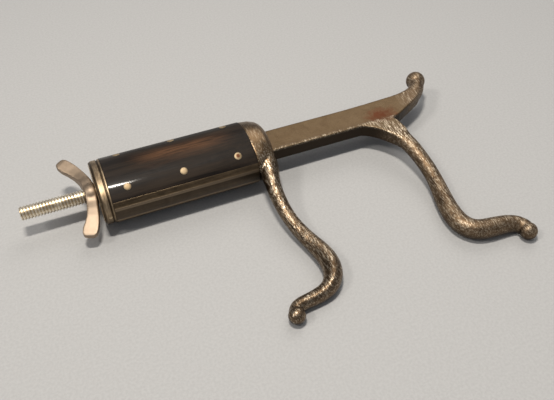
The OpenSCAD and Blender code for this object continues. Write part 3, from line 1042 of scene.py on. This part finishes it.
# wing nut: two paddles drawn out of a round hub and swept back by hand, one further than the other
nutShape = {
    # (distance from the axis, setback from the nut's face, half width, half thickness)
    "nearWing": [(27.2, 10.7, 1.6, 1.0), (26.5, 10.5, 3.2, 1.5), (25.0, 9.9, 4.2, 1.8),
                 (22.4, 8.7, 4.5, 1.95), (19.2, 7.1, 4.1, 2.2), (15, 5.6, 3.6, 2.7),
                 (10.8, 4.5, 3.3, 3.7), (7.0, 3.8, 3.3, 5.0)],
    "middle": [(0, 3.4, 3.3, 6.4)],
    "farWing": [(7.0, 4.0, 3.3, 5.0), (10.8, 5.2, 3.2, 3.7), (15, 7.3, 3.4, 2.7),
                (19.2, 10.0, 3.8, 2.2), (22.4, 12.6, 4.1, 1.95), (25.0, 14.5, 3.8, 1.8),
                (26.5, 15.5, 2.8, 1.5), (27.2, 15.9, 1.4, 1.0)],
    # (distance behind the nut's face, radius)
    "hub": [(6.6, 5.6), (5.7, 6.7), (3.3, 7.2), (0.7, 6.9), (0, 6.2)],
    "turn": 15, "crease": 0.55, "voxel": 0.28, "smoothing": 10,
    # the hub's waist between the wings, by distance from the middle line and from the axis
    "waistAside": (17, 11), "waistRadius": (4.6, 6), "waistSmoothing": 45,
    "neckRadius": 5.75, "neckOverlap": 1,
    "boreRadius": 4.24, "boreBehind": 12, "boreAhead": 2,
}


def makeWingNut():
    shape = nutShape
    face = nutFace / mm
    rows = [(-out, back, wide, thick) for out, back, wide, thick in shape["nearWing"]]
    rows += shape["middle"] + shape["farWing"]
    stations = [((face - back) * mm, out * mm, axisZ, wide * mm, thick * mm)
                for out, back, wide, thick in rows]
    wings = drawOut(stations, flat=True)
    creaseCorners(wings, shape["crease"])
    subdivide(wings, 4)
    startEditing(wings)
    bpy.ops.transform.rotate(value=-math.radians(shape["turn"]), orient_axis="X",
                             center_override=axisPoint)
    stopEditing()
    hub = ovalTurning([(face - behind, radius) for behind, radius in shape["hub"]], 96, ratio=1)
    piece = weldTogether([wings, hub], shape["voxel"])
    smoothPart(piece, keepGroup(piece, "every", lambda co: 1), shape["smoothing"])
    waist = keepGroup(piece, "waist", lambda co: fade(shape["waistAside"], abs(co.y))
                      * fade(shape["waistRadius"], (co.yz - Vector((0, axisZ))).length))
    smoothPart(piece, waist, shape["waistSmoothing"])
    neck, bore, front = shape["neckRadius"], shape["boreRadius"], ringFront / mm
    cutWith(piece, ovalTurning([(face - shape["neckOverlap"], neck), (front, neck)], 96, ratio=1),
            "UNION")
    cutWith(piece, ovalTurning([(face - shape["boreBehind"], bore),
                                (front + shape["boreAhead"], bore)], 64, ratio=1))
    return finishPiece(piece, "wingNut", "nut", ["wing_nut"], nutMaterial, 40)


makeWingNut()

# the plain inner pieces keep their shapes and take the finishes
innerFinishes = {
    "end_plate": plateMaterial, "ferrule_pins": rivetMaterial, "thrust_washer": screwMaterial,
    "nut_retaining_ring": screwMaterial, "ring_pin": screwMaterial, "screw_pin": screwMaterial,
}
for node, material in innerFinishes.items():
    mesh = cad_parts[node].data
    mesh.materials.clear()
    mesh.materials.append(material)
print("inner pieces finished")

# floor, lights and camera
stageLook = {
    "floor": 0.50, "weave": (0.95, 1.05), "floorSize": 6, "floorDrop": 0.02,
    "worldColour": (0.86, 0.87, 0.9), "worldStrength": 0.27, "backdrop": 0.5,
}


def makeFloor():
    deselectAll()
    bpy.ops.mesh.primitive_plane_add(size=stageLook["floorSize"],
                                     location=(0, 0, -stageLook["floorDrop"] * mm))
    floor = bpy.context.object
    floor.name = "floor"
    material, tree, shader = startMaterial("floorCloth", Roughness=0.9)
    weave = noiseOf(tree, objectCoords(tree), 700, 3, 0.6)
    darker, lighter = ((stageLook["floor"] * share,) * 3 for share in stageLook["weave"])
    recolour(tree, shader, mixOf(tree, rangeOf(tree, weave, 0.3, 0.7), darker, lighter))
    floor.data.materials.append(material)


def makeLight(name, place, aim, size, power, colour):
    deselectAll()
    bpy.ops.object.light_add(type="AREA", location=place)
    lamp = bpy.context.object
    lamp.name = name
    lamp.data.shape = "RECTANGLE"
    lamp.data.size, lamp.data.size_y = size
    lamp.data.energy = power
    lamp.data.color = colour
    lamp.rotation_euler = (Vector(aim) - Vector(place)).to_track_quat("-Z", "Y").to_euler()


# a wide, even light that falls from one side
def makeSun(name, fromWhere, spread, power, colour):
    deselectAll()
    bpy.ops.object.light_add(type="SUN", location=fromWhere)
    sun = bpy.context.object
    sun.name = name
    sun.data.angle = math.radians(spread)
    sun.data.energy = power
    sun.data.color = colour
    sun.rotation_euler = Vector(fromWhere).to_track_quat("Z", "Y").to_euler()


makeFloor()
makeLight("keyLamp", (-0.035, -0.03, 0.92), (0.03, -0.04, 0), (0.06, 0.16), 5.6, (1, 0.94, 0.85))
makeSun("sideLight", (-0.64, -0.02, 0.74), 10, 0.62, (1, 0.95, 0.88))
makeSun("backLight", (0.46, 0.58, 0.75), 35, 0.62, (1, 0.96, 0.9))

world = bpy.data.worlds.new("paleRoom")
bpy.context.scene.world = world
world.use_nodes = True
background = world.node_tree.nodes["Background"]
background.inputs["Color"].default_value = (*stageLook["worldColour"], 1)
# what the camera sees past the floor's edge is paler than what lights the gag
seen = addNode(world.node_tree, "LightPath").outputs["Is Camera Ray"]
strength = rangeOf(world.node_tree, seen, 0, 1, stageLook["worldStrength"], stageLook["backdrop"])
world.node_tree.links.new(strength, background.inputs["Strength"])

# camera fitted to the photograph; its focal length was chosen, since the fit doesn't settle it
cameraPlace = {
    "location": (-0.06066, -0.30557, 0.31204), "right": (0.92559, -0.37852, 0.0),
    "up": (0.27451, 0.67143, 0.68835), "focalPixels": 700, "imageWidth": 554,
    "sensorWidth": 36, "nearest": 0.01,
}


def makeCamera():
    deselectAll()
    bpy.ops.object.camera_add(location=cameraPlace["location"])
    camera = bpy.context.object
    right, up = Vector(cameraPlace["right"]), Vector(cameraPlace["up"])
    turn = Matrix((right, up, right.cross(up))).transposed()
    camera.rotation_euler = turn.to_euler()
    sensor = cameraPlace["sensorWidth"]
    camera.data.sensor_width = sensor
    camera.data.lens = sensor * cameraPlace["focalPixels"] / cameraPlace["imageWidth"]
    camera.data.clip_start = cameraPlace["nearest"]
    bpy.context.scene.camera = camera


makeCamera()
bpy.context.scene.view_settings.view_transform = "Standard"
print("stage set")
